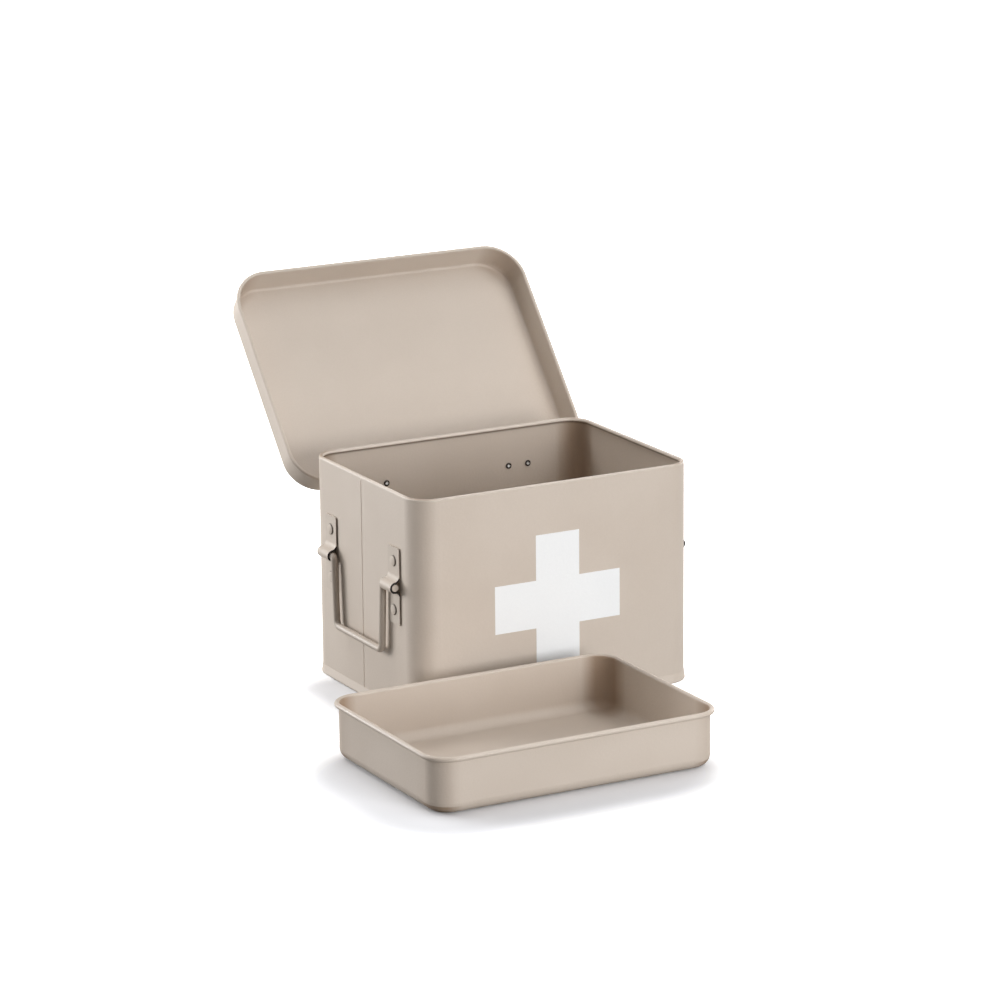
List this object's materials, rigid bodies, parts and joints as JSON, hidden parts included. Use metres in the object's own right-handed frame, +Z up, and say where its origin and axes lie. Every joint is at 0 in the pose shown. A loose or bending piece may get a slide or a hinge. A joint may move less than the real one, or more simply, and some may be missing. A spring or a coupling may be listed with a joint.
{
  "type": "hinged-lid medicine box",
  "caption": "Rounded sheet-metal medicine box with its hinged lid leaning open, a wire bail on each end, a white cross on the front and a loose rimmed tray standing before it.",
  "frame": {"origin": "middle of the box's base, on the surface that it stands on", "axes": "+X to the box's right seen from the front, +Y to the back, where the hinges are, +Z up; the tray stands in front, towards -Y"},
  "size_m": [0.3111, 0.4702, 0.2694],
  "materials": {
    "box_coat": "satin powder coat",
    "lid_coat": "satin powder coat",
    "tray_coat": "satin powder coat",
    "hinge_coat": "satin powder coat",
    "clip_coat": "satin powder coat",
    "bail_coat": "satin powder coat",
    "rivet_coat": "satin powder coat",
    "cross_white": "matt white print",
    "pin_steel": "plain",
    "rivet_steel": "plain"
  },
  "bodies": {
    "box": {"body_shell": "box_coat", "base_panel": "box_coat", "cross_print": "cross_white", "body_leaf_left": "hinge_coat", "body_leaf_right": "hinge_coat", "hinge_pin_left": "pin_steel", "hinge_pin_right": "pin_steel", "body_hinge_rivets_left": "rivet_steel", "body_hinge_rivets_right": "rivet_steel", "clip_left_front": "clip_coat", "clip_rivets_left_front": "rivet_coat", "clip_left_back": "clip_coat", "clip_rivets_left_back": "rivet_coat", "clip_right_front": "clip_coat", "clip_rivets_right_front": "rivet_coat", "clip_right_back": "clip_coat", "clip_rivets_right_back": "rivet_coat"},
    "lid": {"lid_shell": "lid_coat", "lid_leaf_left": "hinge_coat", "lid_leaf_right": "hinge_coat", "lid_hinge_rivets_left": "rivet_coat", "lid_hinge_rivets_right": "rivet_coat"},
    "handle_left": {"bail_left": "bail_coat"},
    "handle_right": {"bail_right": "bail_coat"},
    "tray": {"tray": "tray_coat"}
  },
  "joints": [
    {"name": "lid_hinge", "type": "hinge", "parent": "box", "child": "lid", "pos_m": [0, 0.0832, 0.14091], "axis": [1, 0, 0], "range_deg": [0, 130.3]},
    {"name": "handle_left_swing", "type": "hinge", "parent": "box", "child": "handle_left", "pos_m": [-0.1142, 0, 0.0942], "axis": [0, 1, 0], "range_deg": [-1.5, 165]},
    {"name": "handle_right_swing", "type": "hinge", "parent": "box", "child": "handle_right", "pos_m": [0.1142, 0, 0.0942], "axis": [0, -1, 0], "range_deg": [-1.5, 165]},
    {"name": "tray_lift", "type": "slide", "parent": "box", "child": "tray", "axis": [0, 0, 1], "range_m": [0, 0.2]}
  ]
}
